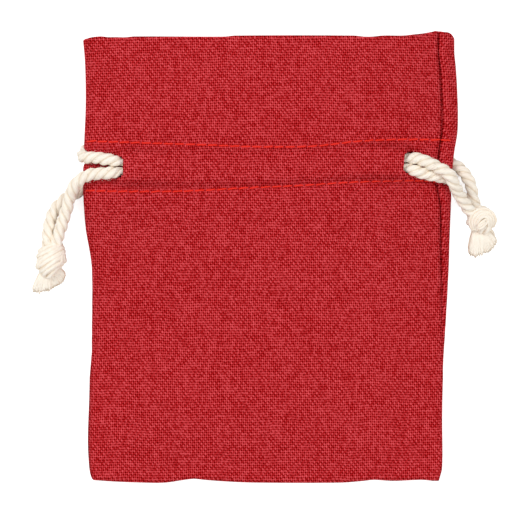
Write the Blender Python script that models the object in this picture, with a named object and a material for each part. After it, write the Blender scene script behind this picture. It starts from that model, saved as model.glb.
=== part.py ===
"""A small flat drawstring pouch of plain-woven cotton, lying on its back.

+X is to the right, +Y towards the mouth and +Z up, away from the surface it lies on.
Sizes are in millimetres here, and MM turns them to metres as each mesh is made.
"""

import math

import bmesh
import bpy
from mathutils import Matrix, Vector

MM = 0.001

# Looks
RED_COTTON = (0.46, 0.023, 0.028)
CREAM_COTTON = (0.83, 0.7, 0.58)
ORANGE_THREAD = (0.77, 0.03, 0.012)
ROUGHNESS = 0.9

# Cloth
CLOTH = 0.5
LAYER_GAP = 0.3
EDGE_RADIUS = 1.3
FOLD_RADIUS = 1.3
HEM_MARGIN = 2.4

# Drawcords
CORD = 3.4
CORD_GAP = 0.3
CHANNEL_GAP = 0.4
WRAP_DENT = 2.0
WRAP_DENT_RUN = 11.0
WRAP_DENT_REACH = 2.5
WRAP_GAP = 0.35
FLOOR_GAP = 0.1
UNDER_ROOM = 0.2
SLOPE_ROOM = 0.3

# Height of the front above the floor at the middle of the bag, by distance up the bag
ARCH = ((-64.0, 1.6), (-58.0, 3.4), (-45.0, 5.8), (-20.0, 8.8), (0.0, 10.8),
        (14.0, 12.4), (26.0, 12.9), (40.0, 12.8), (64.0, 12.3))
ARCH_POWER = 3.0

# Outline, seen from above: the left and right sides by height, the ends by distance across
LEFT_SIDE = ((-64.0, -50.0), (-60.0, -50.8), (-52.0, -51.2), (-39.0, -50.8), (-19.0, -50.5),
             (-3.7, -50.5), (1.4, -51.1), (8.2, -52.2), (18.4, -52.8), (25.0, -52.8),
             (33.0, -52.5), (44.0, -52.2), (55.8, -52.5), (61.4, -53.0))
RIGHT_SIDE = ((-63.5, 47.7), (-59.7, 48.6), (-45.0, 48.6), (-32.5, 48.9), (-22.4, 49.4),
              (-12.2, 50.0), (-2.0, 50.5), (10.0, 50.8), (20.4, 51.1), (25.2, 51.4),
              (30.0, 51.9), (35.4, 52.8), (41.0, 53.0), (45.6, 52.8), (52.4, 52.3), (58.0, 51.7))
BOTTOM_END = ((-50.0, -63.2), (-44.0, -63.6), (-36.0, -63.9), (-30.0, -63.9), (-24.4, -63.1),
              (-21.6, -62.8), (-18.8, -63.1), (-12.0, -63.6), (-4.0, -63.9), (20.0, -63.9),
              (26.5, -63.4), (29.3, -63.1), (35.0, -63.4), (43.0, -63.1), (46.3, -63.4))
TOP_END = ((-52.8, 61.7), (-49.9, 62.3), (-44.3, 62.3), (-41.4, 62.0), (-38.6, 62.5),
           (-13.0, 62.5), (-10.0, 62.8), (23.7, 62.8), (26.5, 62.5), (29.0, 62.5),
           (32.0, 62.8), (37.8, 62.8), (40.6, 63.1), (43.5, 63.4), (46.7, 63.9),
           (49.1, 63.4), (51.4, 62.8))

# Side seams: how far each has rolled round its edge, by height
SEAM_ROLL = ((-34.0, 0.0), (-25.0, 0.7), (-18.0, 1.6), (-1.0, 2.9), (14.0, 3.6), (20.0, 4.7),
             (30.0, 5.0), (42.0, 5.2), (64.0, 5.25))
SEAM_GROOVE = 0.5
SEAM_GROOVE_REACH = 1.1
FULL_GROOVE_ROLL = 3.0

# Stitch rows, by distance across
UPPER_ROW = ((-52.5, 32.8), (-35.5, 32.1), (-15.4, 31.4), (-5.2, 31.0), (11.8, 31.1),
             (24.5, 32.5), (37.2, 33.1), (52.0, 33.0))
LOWER_ROW = ((-52.5, 18.8), (-42.6, 18.5), (-25.3, 18.5), (-5.2, 19.5), (8.1, 20.1),
             (24.5, 21.1), (37.2, 21.5), (44.0, 21.5), (52.0, 21.1))
THREAD = 0.35
THREAD_GAP = 0.5
STITCH = 2.4
STITCH_ARCH = 0.1
THREAD_SPARE = 0.1
ROW_LIFT_FLAT = 0.4
ROW_LIFT_FOOT = 2.2

# Cord holes, near the ends of the channel, by their distance along the cloth from the nearer side seam
FAR_HOLE = 17.0
NEAR_HOLE = 9.75
CHANNEL_HEIGHT = 25.5
HOLE_STEP = 2.6
HOLE_CLEARANCE = 0.65
HOLE_REACH_OUT = 2.6
HOLE_REACH_IN = 1.35
HOLE_RISE = 0.35

# Channel bulge: distances from the middle line between the cords, and how it parts the front's layers.
# Near the holes the outer layer takes all of it, and past SHARE_RUN from them only MIDDLE_SHARE.
BULGE_FLAT = 3.0
BULGE_FOOT = 6.0
SHARE_START = 3.0
SHARE_RUN = 18.0
MIDDLE_SHARE = 0.5

# Heights up the bag at which a cord wraps round each edge
LEFT_WRAP = 28.2
RIGHT_WRAP = 24.0

# Underside: where the bag is held up at its sides by the cords that pass below it
LIFT_FLAT = 4.2
LIFT_SPREAD = 3.2
LIFT = ((-2.0, 0.0), (8.0, 0.35), (16.5, 1.0), (31.0, 1.0), (40.0, 0.45), (52.0, 0.0))

# Knots: centre, half sizes and the angle in degrees that the grooves lie across
LEFT_KNOT = ((-62.2, -0.9, 4.15), (4.1, 4.2, 4.0), 60)
RIGHT_KNOT = ((59.9, 10.5, 4.05), (4.5, 3.8, 3.9), -40)
KNOT_GROOVE = 0.35
KNOT_GROOVE_SHARE = 0.14
KNOT_GROOVE_PLACES = (-0.45, 0.1, 0.6)

# Frayed ends: where each leaves its knot and the middle of its tip
LEFT_TASSEL = ((-62.3, -5.6), (-64.4, -10.4))
RIGHT_TASSEL = ((58.9, 6.2), (59.9, 0.3))
TASSEL_NECK = 2.3
TASSEL_SPREAD = 4.4
TASSEL_HEIGHT = 3.6
TASSEL_FLATTENING = 0.45
TASSEL_TIP_START = 0.7
TASSEL_TIP_ROUND = 0.6

# Fineness of the tubes: the longest straight step, the sharpest turn in degrees, and Blender's bevel steps
LONGEST_STEP = 8.0
SHARPEST_STEP = 28.0
TUBE_SIDES = 2
TASSEL_CUTS = 4

PAIR = CORD + CORD_GAP
LAYER = CLOTH + LAYER_GAP
TUNNEL = CORD + 2 * CHANNEL_GAP + CLOTH - LAYER
UNDER_LIFT = CORD + CORD_GAP + UNDER_ROOM
ROW_LIFT = THREAD + THREAD_GAP + THREAD_SPARE

# Cord routes outside the bag, as points chosen along each strand
LEFT_FRONT_LEG = ((-63.1, 3.9, 5.7), (-63.0, 6.8, 5.7), (-62.5, 10.2, 5.8), (-61.2, 13.6, 6.2),
                  (-58.7, 16.7, 7.0), (-56.1, 19.2, 8.0), (-53.9, 21.1, 8.9), (-51.6, 22.5, 9.6),
                  (-48.8, 23.3, 10.4))
LEFT_BACK_LEG = ((-44.0, 22.8, 1.75), (-48.0, 22.0, 1.75), (-51.0, 21.0, 1.75), (-53.0, 19.9, 1.75),
                 (-54.7, 18.1, 1.8), (-56.7, 15.3, 1.8), (-58.3, 11.9, 1.8), (-59.5, 8.2, 1.85),
                 (-60.4, 5.8, 2.0), (-60.9, 3.6, 2.1))
RIGHT_FRONT_LEG = ((56.5, 13.6, 5.6), (54.6, 17.0, 7.6), (52.9, 20.4, 10.0), (50.9, 23.7, 12.2),
                   (48.0, 26.3, 13.1), (44.3, 28.0, 12.6), (41.3, 28.8, 12.1))
RIGHT_BACK_LEG = ((44.0, 28.9, 1.75), (48.0, 28.2, 1.75), (51.7, 27.2, 1.75), (53.9, 25.6, 1.75),
                  (55.6, 22.6, 1.75), (56.5, 19.5, 1.8), (57.3, 17.0, 1.9), (58.6, 14.5, 2.15))
CHANNEL_STOPS = (-35.0, -25.0, -12.0, 0.0, 12.0, 24.0, 32.0)
LEFT_LEG_OVER = (-45.0, 23.6)
RIGHT_EDGE_OVER = ((41.3, 24.8), (45.5, 24.1))
RIGHT_EDGE_UNDER = ((46.0, 24.0), (42.0, 24.8))
LEFT_EDGE_OVER = ((-45.0, 27.6), (-48.0, 28.1))
LEFT_EDGE_UNDER = ((-47.0, 28.2), (-43.0, 27.7))
WRAP_STOPS = (66, 33, 0, -36, -72)


def ramp(start, end, value):
    """0 before start and 1 after end, with a smooth rise between."""
    share = min(max((value - start) / (end - start), 0.0), 1.0)
    return share * share * (3.0 - 2.0 * share)


def curve_at(points, value):
    """A smooth curve through points (place, amount), level past its ends."""
    if value <= points[0][0]:
        return points[0][1]
    if value >= points[-1][0]:
        return points[-1][1]
    count = len(points)
    k = next(i for i in range(1, count) if value <= points[i][0])
    (x0, y0), (x1, y1) = points[k - 1], points[k]
    before = points[k - 2] if k > 1 else points[k - 1]
    after = points[k + 1] if k + 1 < count else points[k]
    width = x1 - x0
    slope0 = (y1 - before[1]) / (x1 - before[0])
    slope1 = (after[1] - y0) / (after[0] - x0)
    t = (value - x0) / width
    return ((2 * t**3 - 3 * t**2 + 1) * y0 + (t**3 - 2 * t**2 + t) * width * slope0
            + (3 * t**2 - 2 * t**3) * y1 + (t**3 - t**2) * width * slope1)


def seam_run():
    """How far each side seam lies past the end of the rounded edge, at the channel."""
    return curve_at(SEAM_ROLL, CHANNEL_HEIGHT) - math.pi * EDGE_RADIUS / 2


def hole_places():
    """The four holes' distances across the bag: front left and right, then back left and right."""
    left = curve_at(LEFT_SIDE, CHANNEL_HEIGHT) + EDGE_RADIUS
    right = curve_at(RIGHT_SIDE, CHANNEL_HEIGHT) - EDGE_RADIUS
    around = math.pi * EDGE_RADIUS + seam_run()
    return (left + FAR_HOLE - around, right - NEAR_HOLE - seam_run(),
            left + NEAR_HOLE + seam_run(), right - FAR_HOLE + around)


def channel_mid(x):
    return 0.5 * (curve_at(UPPER_ROW, x) + curve_at(LOWER_ROW, x))


def side_lift(y):
    """Height of the underside at the bag's edges."""
    return UNDER_LIFT * min(max(curve_at(LIFT, y), 0.0), 1.0)


def edge_level(y):
    """Height of the middle of the rounded edge."""
    return CLOTH / 2 + EDGE_RADIUS + side_lift(y)


def dents(y):
    """How far a cord draws each edge in where it wraps round it."""
    return [WRAP_DENT * math.exp(-(((y - wrap) / WRAP_DENT_REACH) ** 2))
            for wrap in (LEFT_WRAP, RIGHT_WRAP)]


def sides(y):
    """The two edges at a height, with their dents."""
    left_dent, right_dent = dents(y)
    return curve_at(LEFT_SIDE, y) + left_dent, curve_at(RIGHT_SIDE, y) - right_dent


def drawn_in(x, y):
    """Where a point of the flat cloth lies once the dents, which fade inwards, have moved it."""
    left_dent, right_dent = dents(y)
    left_fade = 1 - ramp(EDGE_RADIUS, WRAP_DENT_RUN, x - curve_at(LEFT_SIDE, y))
    right_fade = 1 - ramp(EDGE_RADIUS, WRAP_DENT_RUN, curve_at(RIGHT_SIDE, y) - x)
    return x + left_dent * left_fade - right_dent * right_fade


def front_height(x, y):
    """The front's outer layer, without the channel's bulge."""
    left, right = sides(y)
    across = abs(2 * (x - left) / (right - left) - 1)
    top_of_edge = edge_level(y) + EDGE_RADIUS
    rise = max(curve_at(ARCH, y) - top_of_edge, 0.0)
    return top_of_edge + rise * (1 - min(across, 1.0) ** ARCH_POWER)


FRONT_LEFT_HOLE, FRONT_RIGHT_HOLE, BACK_LEFT_HOLE, BACK_RIGHT_HOLE = hole_places()


def between_holes(x, left_hole, right_hole):
    half = HOLE_STEP / 2
    return (ramp(left_hole - half, left_hole + half, x)
            * (1 - ramp(right_hole - half, right_hole + half, x)))


def channel_bulge(x, y):
    return 1 - ramp(BULGE_FLAT, BULGE_FOOT, abs(y - channel_mid(x)))


def outer_share(x):
    """The share of the front's bulge that its outer layer takes."""
    from_hole = min(x - FRONT_LEFT_HOLE, FRONT_RIGHT_HOLE - x)
    return 1 - (1 - MIDDLE_SHARE) * ramp(SHARE_START, SHARE_RUN, from_hole)


def front_bulges(x, y):
    """How far the front's outer layer rises at the channel, and how far its inner layer sinks."""
    bulge = TUNNEL * channel_bulge(x, y) * between_holes(x, FRONT_LEFT_HOLE, FRONT_RIGHT_HOLE)
    return bulge * outer_share(x), bulge * (1 - outer_share(x))


def row_lift(x, y):
    """The underside rises off the floor along each stitch row, by the thread below it."""
    nearest = min(abs(y - curve_at(UPPER_ROW, x)), abs(y - curve_at(LOWER_ROW, x)))
    return ROW_LIFT * (1 - ramp(ROW_LIFT_FLAT, ROW_LIFT_FOOT, nearest))


def back_heights(x, y):
    """The back's outer and inner layers."""
    near = HOLE_STEP / 2
    far = near + LIFT_SPREAD * ramp(LIFT_FLAT, BULGE_FOOT, abs(y - channel_mid(x)))
    lifted = side_lift(y) * (1 - ramp(BACK_LEFT_HOLE - near, BACK_LEFT_HOLE + far, x)
                             * (1 - ramp(BACK_RIGHT_HOLE - far, BACK_RIGHT_HOLE + near, x)))
    outer = CLOTH / 2 + max(lifted, row_lift(x, y))
    inner = CLOTH / 2 + LAYER + max(lifted, TUNNEL * channel_bulge(x, y), row_lift(x, y))
    return outer, inner


def ring_sizes(y, closing):
    """The edges' radius, the flat run between them and the length of each edge's curve."""
    radius = EDGE_RADIUS * closing
    return radius, curve_at(RIGHT_SIDE, y) - curve_at(LEFT_SIDE, y) - 2 * radius, math.pi * radius


def section_point(ring, y, closing, inset, groove):
    """A point of the closed cross-section at height y, by its distance round the ring.

    ring is 0 where the left edge's curve meets the front. closing runs from 0 at the bottom fold to 1.
    inset is the distance inwards from the outer layer."""
    left, right = sides(y)
    radius, run, turn = ring_sizes(y, closing)
    start, end = curve_at(LEFT_SIDE, y) + radius, curve_at(RIGHT_SIDE, y) - radius
    level = edge_level(y)
    arc = max(radius - inset - groove, 0.0)
    if 0 <= ring <= run:
        x = drawn_in(start + ring, y)
        rise, sink = front_bulges(x, y)
        share = min(max(inset / LAYER, 0.0), 1.0)
        z = front_height(x, y) - inset - groove + rise * (1 - share) - sink * share
    elif -turn < ring < 0:
        angle = math.pi / 2 - ring / max(radius, 1e-6)
        return left + radius + arc * math.cos(angle), level + arc * math.sin(angle)
    elif run < ring < run + turn:
        angle = math.pi / 2 - (ring - run) / max(radius, 1e-6)
        return right - radius + arc * math.cos(angle), level + arc * math.sin(angle)
    else:
        x = drawn_in(start - ring - turn if ring < 0 else end - (ring - run - turn), y)
        outer_z, inner_z = back_heights(x, y)
        share = inset / LAYER
        z = outer_z * (1 - share) + inner_z * share + groove
    return x, level + (z - level) * closing


# Levels up the bag: bottom fold, hem's raw edge, lower row, upper row, top fold
BOTTOM, HEM, LOWER, UPPER, TOP = range(5)


def level_height(level, x):
    lines = (curve_at(BOTTOM_END, x), curve_at(LOWER_ROW, x) - HEM_MARGIN,
             curve_at(LOWER_ROW, x), curve_at(UPPER_ROW, x), curve_at(TOP_END, x))
    k = min(int(level), 3)
    return lines[k] + (level - k) * (lines[k + 1] - lines[k])


def cloth_point(panel, column, level, inset_share=0.0, drop=0.0):
    """A point of the cloth's middle surface, on the front or the back panel.

    column is (side, distance from that side's seam), or a share of the way between them."""
    inset = inset_share * LAYER
    x = 0.0
    for _ in range(3):
        y = level_height(level, x) - drop
        above_fold = min((y - curve_at(BOTTOM_END, x)) / FOLD_RADIUS, 1.0)
        closing = math.sqrt(max(1 - (1 - above_fold) ** 2, 0.0))
        _, run, turn = ring_sizes(y, closing)
        roll = max(curve_at(SEAM_ROLL, y), 0.0)
        left_seam = -(turn / 2 + roll)
        right_seam = run + turn / 2 - roll
        if panel == "back":
            left_seam = 2 * run + 2 * turn + left_seam
        towards = 1 if panel == "front" else -1
        left_last = left_seam + towards * column_reach()
        right_last = right_seam - towards * column_reach()
        side, amount = column
        if side == "left":
            ring, away = left_seam + towards * amount, amount
        elif side == "right":
            ring, away = right_seam - towards * amount, amount
        else:
            ring, away = left_last + amount * (right_last - left_last), column_reach()
        deep = SEAM_GROOVE * min(roll / FULL_GROOVE_ROLL, 1.0)
        groove = deep * math.exp(-((away / SEAM_GROOVE_REACH) ** 2))
        x, z = section_point(ring, y, closing, inset, groove)
    return Vector((x, y, z))


HOLE_EDGES = (-HOLE_STEP / 2, HOLE_STEP / 2)
SIDE_COLUMNS = (0.0, 1.0, 2.05, 3.1, 4.1, 5.15, 6.2, 7.2, *(NEAR_HOLE + edge for edge in HOLE_EDGES),
                (NEAR_HOLE + FAR_HOLE) / 2, *(FAR_HOLE + edge for edge in HOLE_EDGES), FAR_HOLE + 4.5)
MIDDLE_COLUMNS = 4

# Rows of the cloth: distances above the bottom fold in mm, then levels up the outside and down the lining
FOLD_ROWS = (0.0, 0.2, 0.65, 1.3, 4.0)
BODY_ROWS = (0.13, 0.26, 0.38, 0.44, 0.5, 0.56, 0.62, 0.69, 0.76, 0.85, 0.94, 1.0)
CHANNEL_ROWS = (2.0, 2.1, 2.25, 2.5, 2.68, 2.78, 2.9, 3.0)
TOP_ROWS = (3.12, 3.4, 3.7, 3.92)
LINING_ROWS = (3.7, 3.3)


def column_reach():
    return SIDE_COLUMNS[-1]


def cloth_columns():
    middle = [("middle", (i + 1) / (MIDDLE_COLUMNS + 1)) for i in range(MIDDLE_COLUMNS)]
    left = [("left", away) for away in SIDE_COLUMNS]
    return left + middle + [("right", away) for away in reversed(SIDE_COLUMNS)]


def cloth_rows():
    """(level, inset share, drop below that level) of each row, from the bottom fold to the raw edge."""
    rows = [(BOTTOM, 0.0, -drop) for drop in FOLD_ROWS]
    rows += [(level, 0.0, 0.0) for level in (*BODY_ROWS, *CHANNEL_ROWS, *TOP_ROWS)]
    fold = LAYER / 2
    for turn in (0.0, 90.0, 180.0):
        angle = math.radians(turn)
        rows.append((TOP, (1 - math.cos(angle)) / 2, fold * (1 - math.sin(angle))))
    rows += [(level, 1.0, 0.0) for level in (*LINING_ROWS, *reversed(CHANNEL_ROWS))]
    return rows + [(HEM, 1.0, 0.0)]


def new_object(name, mesh_data, colour):
    """An object with a plain material of its own."""
    thing = bpy.data.objects.new(name, mesh_data)
    bpy.context.collection.objects.link(thing)
    material = bpy.data.materials.new(name)
    material.use_nodes = True
    shader = material.node_tree.nodes["Principled BSDF"]
    shader.inputs["Base Color"].default_value = (*colour, 1.0)
    shader.inputs["Roughness"].default_value = ROUGHNESS
    mesh_data.materials.append(material)
    return thing


def panel_mesh(bm, panel):
    """Adds a flat grid and folds it into one panel of the bag."""
    columns = cloth_columns()
    rows = cloth_rows()
    made = bmesh.ops.create_grid(
        bm, x_segments=len(columns) - 1, y_segments=len(rows) - 1, size=1.0)
    for vertex in made["verts"]:
        i = round((vertex.co.x + 1) / 2 * (len(columns) - 1))
        j = round((vertex.co.y + 1) / 2 * (len(rows) - 1))
        vertex.co = cloth_point(panel, columns[i], *rows[j]) * MM


def hole_cutter(name, x, z):
    """A flat-sided oval bar through which both cords pass, lying across the bag."""
    bm = bmesh.new()
    radius = CORD / 2 + HOLE_CLEARANCE
    made = bmesh.ops.create_circle(bm, cap_ends=True, segments=16, radius=radius)
    half_step = Matrix.Rotation(math.pi / 16, 3, "Z")
    bmesh.ops.rotate(bm, verts=made["verts"], cent=(0, 0, 0), matrix=half_step)
    for vertex in made["verts"]:
        vertex.co.x += math.copysign(PAIR / 2, vertex.co.x)
    outwards = math.copysign(1.0, x)
    near = x + outwards * HOLE_REACH_OUT
    far = x - outwards * HOLE_REACH_IN
    start, end = min(near, far), max(near, far)
    for vertex in bm.verts:
        vertex.co = Vector((start, channel_mid(x) + vertex.co.x, z + vertex.co.y))
    pushed = bmesh.ops.extrude_face_region(bm, geom=bm.faces[:])
    moved = [part for part in pushed["geom"] if isinstance(part, bmesh.types.BMVert)]
    bmesh.ops.translate(bm, verts=moved, vec=(end - start, 0, 0))
    bmesh.ops.recalc_face_normals(bm, faces=bm.faces)
    bmesh.ops.scale(bm, vec=(MM, MM, MM), verts=bm.verts)
    mesh = bpy.data.meshes.new(name)
    bm.to_mesh(mesh)
    cutter = bpy.data.objects.new(name, mesh)
    bpy.context.collection.objects.link(cutter)
    cutter.hide_render = True
    cutter.display_type = "WIRE"
    return cutter


def front_hole_level(x):
    """Height of the middle of a front hole, just above that of the cords inside the channel."""
    return front_channel_point(x, 0.0)[2] + HOLE_RISE


def front_channel_point(x, aside):
    """The middle of a cord inside the front of the channel, aside from the line between the two."""
    y = channel_mid(x)
    sink = TUNNEL * (1 - outer_share(x))
    inner = front_height(x, y) - LAYER - sink
    return x, y + aside, inner + CLOTH / 2 + CHANNEL_GAP + CORD / 2


def back_channel_point(x, aside):
    inner = CLOTH / 2 + LAYER + TUNNEL
    return x, channel_mid(x) + aside, inner - CLOTH / 2 - CHANNEL_GAP - CORD / 2


def over_front(x, y):
    """The middle of a cord that lies on the front."""
    return x, y, front_height(x, y) + CLOTH / 2 + WRAP_GAP + CORD / 2 + SLOPE_ROOM


def under_back(x, y):
    return x, y, FLOOR_GAP / 2 + CORD / 2


def wrap_points(y, outwards):
    """A cord's half turn round the bag's edge, from the front to the back."""
    edge = sides(y)[1] if outwards > 0 else sides(y)[0]
    radius = EDGE_RADIUS + CLOTH / 2 + WRAP_GAP + CORD / 2
    points = []
    for degrees in WRAP_STOPS:
        angle = math.radians(degrees)
        x = edge + outwards * (radius * math.cos(angle) - EDGE_RADIUS)
        points.append((x, y, edge_level(y) + radius * math.sin(angle)))
    return points


def build_bag():
    bm = bmesh.new()
    panel_mesh(bm, "front")
    panel_mesh(bm, "back")
    bmesh.ops.remove_doubles(bm, verts=bm.verts, dist=0.00002)
    bmesh.ops.recalc_face_normals(bm, faces=bm.faces)
    mesh = bpy.data.meshes.new("bag_body")
    bm.to_mesh(mesh)
    mesh.shade_smooth()
    bag = new_object("bag_body", mesh, RED_COTTON)
    wall = bag.modifiers.new("cloth", "SOLIDIFY")
    wall.thickness = CLOTH * MM
    wall.offset = 0.0
    back_level = back_channel_point(0.0, 0.0)[2] - HOLE_RISE
    holes = (("front_left_hole", FRONT_LEFT_HOLE, front_hole_level(FRONT_LEFT_HOLE)),
             ("front_right_hole", FRONT_RIGHT_HOLE, front_hole_level(FRONT_RIGHT_HOLE)),
             ("back_left_hole", BACK_LEFT_HOLE, back_level),
             ("back_right_hole", BACK_RIGHT_HOLE, back_level))
    for name, x, z in holes:
        cut = bag.modifiers.new(name, "BOOLEAN")
        cut.operation = "DIFFERENCE"
        cut.solver = "EXACT"
        cut.object = hole_cutter(name, x, z)
    return bag


def smooth_route(points):
    """Points on a smooth curve through the route, closer together where it turns."""
    stops = [Vector(point) for point in points]
    path = [stops[0]]
    for k in range(1, len(stops)):
        start, end = stops[k - 1], stops[k]
        before = stops[k - 2] if k > 1 else start
        after = stops[k + 1] if k + 1 < len(stops) else end
        length = (end - start).length
        leave = (end - before).normalized() * length
        arrive = (after - start).normalized() * length
        turn = math.degrees(leave.angle(arrive))
        steps = max(1, math.ceil(length / LONGEST_STEP), math.ceil(turn / SHARPEST_STEP))
        for step in range(1, steps + 1):
            t = step / steps
            path.append((2 * t**3 - 3 * t**2 + 1) * start + (t**3 - 2 * t**2 + t) * leave
                        + (3 * t**2 - 2 * t**3) * end + (t**3 - t**2) * arrive)
    return path


def tube(name, points, diameter, colour, cyclic):
    curve = bpy.data.curves.new(name, "CURVE")
    curve.dimensions = "3D"
    curve.bevel_depth = diameter / 2 * MM
    curve.bevel_resolution = TUBE_SIDES if not cyclic else 0
    curve.use_fill_caps = True
    spline = curve.splines.new("POLY")
    spline.points.add(len(points) - 1)
    for knot, point in zip(spline.points, points):
        knot.co = (*(Vector(point) * MM), 1.0)
    spline.use_cyclic_u = cyclic
    return new_object(name, curve, colour)


def build_drawcords():
    """Each cord runs from its knot through the front channel, round the far edge and back behind."""
    low, high = -PAIR / 2, PAIR / 2
    onwards = CHANNEL_STOPS
    back = tuple(reversed(CHANNEL_STOPS))
    left = [*LEFT_FRONT_LEG, over_front(*LEFT_LEG_OVER), front_channel_point(FRONT_LEFT_HOLE, low)]
    left += [front_channel_point(x, low) for x in onwards]
    left += [front_channel_point(FRONT_RIGHT_HOLE, low), *(over_front(*place) for place in RIGHT_EDGE_OVER)]
    left += [*wrap_points(RIGHT_WRAP, 1), *(under_back(*place) for place in RIGHT_EDGE_UNDER)]
    left += [back_channel_point(BACK_RIGHT_HOLE, low)]
    left += [back_channel_point(x, low) for x in back]
    left += [back_channel_point(BACK_LEFT_HOLE, low), *LEFT_BACK_LEG]
    right = [*RIGHT_FRONT_LEG, front_channel_point(FRONT_RIGHT_HOLE, high)]
    right += [front_channel_point(x, high) for x in back]
    right += [front_channel_point(FRONT_LEFT_HOLE, high), *(over_front(*place) for place in LEFT_EDGE_OVER)]
    right += [*wrap_points(LEFT_WRAP, -1), *(under_back(*place) for place in LEFT_EDGE_UNDER)]
    right += [back_channel_point(BACK_LEFT_HOLE, high)]
    right += [back_channel_point(x, high) for x in onwards]
    right += [back_channel_point(BACK_RIGHT_HOLE, high), *RIGHT_BACK_LEG]
    tube("left_drawcord", smooth_route(left), CORD, CREAM_COTTON, False)
    tube("right_drawcord", smooth_route(right), CORD, CREAM_COTTON, False)


def build_knot(name, centre, half_sizes, degrees):
    """A tight overhand knot of the doubled cord, as a ball with the grooves between its turns."""
    lean = math.radians(degrees)
    bm = bmesh.new()
    bmesh.ops.create_uvsphere(bm, u_segments=20, v_segments=12, radius=1.0)
    axis = Vector((math.cos(lean), math.sin(lean), 0.0))
    for vertex in bm.verts:
        along = vertex.co.dot(axis)
        groove = sum(math.exp(-(((along - place) / KNOT_GROOVE_SHARE) ** 2)) for place in KNOT_GROOVE_PLACES)
        vertex.co = Vector([vertex.co[k] * (half_sizes[k] - KNOT_GROOVE * groove) for k in range(3)])
    bmesh.ops.translate(bm, verts=bm.verts, vec=centre)
    finish_mesh(name, bm, CREAM_COTTON)


def build_tassel(name, neck, tip):
    """The frayed ends past a knot: a fan that spreads and flattens on the surface below it."""
    bm = bmesh.new()
    start, end = Vector((*neck, 0.0)), Vector((*tip, 0.0))
    along = (end - start).normalized()
    across = Vector((-along.y, along.x, 0.0))
    bmesh.ops.create_cone(
        bm, cap_ends=True, segments=14, radius1=1.0, radius2=1.0, depth=1.0)
    lengthwise = [edge for edge in bm.edges if abs(edge.verts[0].co.z - edge.verts[1].co.z) > 0.5]
    bmesh.ops.subdivide_edges(bm, edges=lengthwise, cuts=TASSEL_CUTS)
    for vertex in bm.verts:
        share = vertex.co.z + 0.5
        tip_round = math.sqrt(1 - TASSEL_TIP_ROUND * ramp(TASSEL_TIP_START, 1.0, share))
        wide = (TASSEL_NECK + (TASSEL_SPREAD - TASSEL_NECK) * ramp(0.0, 1.0, share)) * tip_round
        high = TASSEL_HEIGHT / 2 * (1 - TASSEL_FLATTENING * share) * tip_round
        place = start + (end - start) * share + across * (vertex.co.x * wide)
        vertex.co = Vector((place.x, place.y, FLOOR_GAP + high + vertex.co.y * high))
    bmesh.ops.recalc_face_normals(bm, faces=bm.faces)
    finish_mesh(name, bm, CREAM_COTTON)


def finish_mesh(name, bm, colour):
    bmesh.ops.scale(bm, vec=(MM, MM, MM), verts=bm.verts)
    mesh = bpy.data.meshes.new(name)
    bm.to_mesh(mesh)
    bm.free()
    mesh.shade_smooth()
    return new_object(name, mesh, colour)


def build_stitching(name, row):
    """One row of sewing thread round the whole bag, arching a little over each stitch."""
    reach = CLOTH / 2 + THREAD_GAP + THREAD / 2
    around = 2 * (RIGHT_SIDE[-1][1] - LEFT_SIDE[-1][1])
    stitches = round(around / STITCH)
    points = []
    for k in range(2 * stitches):
        share = k / (2 * stitches)
        x, y = 0.0, row[0][1]
        for _ in range(3):
            _, run, turn = ring_sizes(y, 1.0)
            ring = -turn + share * 2 * (run + turn)
            arch = reach + (STITCH_ARCH if k % 2 else 0.0)
            x, z = section_point(ring, y, 1.0, -arch, 0.0)
            y = curve_at(row, x)
        points.append((x, y, z))
    tube(name, points, THREAD, ORANGE_THREAD, True)


for thing in list(bpy.data.objects):
    bpy.data.objects.remove(thing, do_unlink=True)

build_bag()
build_drawcords()
build_knot("left_knot", *LEFT_KNOT)
build_knot("right_knot", *RIGHT_KNOT)
build_tassel("left_tassel", *LEFT_TASSEL)
build_tassel("right_tassel", *RIGHT_TASSEL)
build_stitching("upper_stitching", UPPER_ROW)
build_stitching("lower_stitching", LOWER_ROW)
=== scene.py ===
import math
import random
from functools import partial

import bmesh
import bpy
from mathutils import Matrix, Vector, noise


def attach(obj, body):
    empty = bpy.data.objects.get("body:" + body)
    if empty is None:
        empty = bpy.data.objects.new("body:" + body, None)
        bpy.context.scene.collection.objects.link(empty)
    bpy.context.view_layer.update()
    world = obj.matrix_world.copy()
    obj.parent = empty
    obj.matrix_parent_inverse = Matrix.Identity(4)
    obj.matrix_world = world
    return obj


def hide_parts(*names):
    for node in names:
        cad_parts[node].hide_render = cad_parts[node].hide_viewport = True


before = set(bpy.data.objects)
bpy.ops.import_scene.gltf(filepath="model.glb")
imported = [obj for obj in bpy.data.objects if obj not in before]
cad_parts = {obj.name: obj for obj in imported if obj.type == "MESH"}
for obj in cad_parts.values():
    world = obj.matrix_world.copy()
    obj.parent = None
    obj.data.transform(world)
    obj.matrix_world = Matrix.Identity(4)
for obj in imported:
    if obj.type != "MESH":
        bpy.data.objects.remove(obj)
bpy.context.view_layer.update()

MM = 0.001

# Cloth, in millimetres as every size of the pouch
CLOTH = 0.5
LAYER_GAP = 0.3
LAYER = CLOTH + LAYER_GAP
EDGE_RADIUS = 1.3
FOLD_RADIUS = 1.3
HEM_MARGIN = 2.4

# Drawcords and the room that they need
CORD = 3.4
CORD_GAP = 0.3
PAIR = CORD + CORD_GAP
CHANNEL_GAP = 0.4
WRAP_DENT = 2.0
WRAP_DENT_RUN = 11.0
WRAP_DENT_REACH = 1.4
WRAP_GAP = 0.35
SLOPE_ROOM = 0.3
FLOOR_GAP = 0.1
TUNNEL = CORD + 2 * CHANNEL_GAP + CLOTH - LAYER
UNDER_LIFT = CORD + CORD_GAP + 0.2

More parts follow.
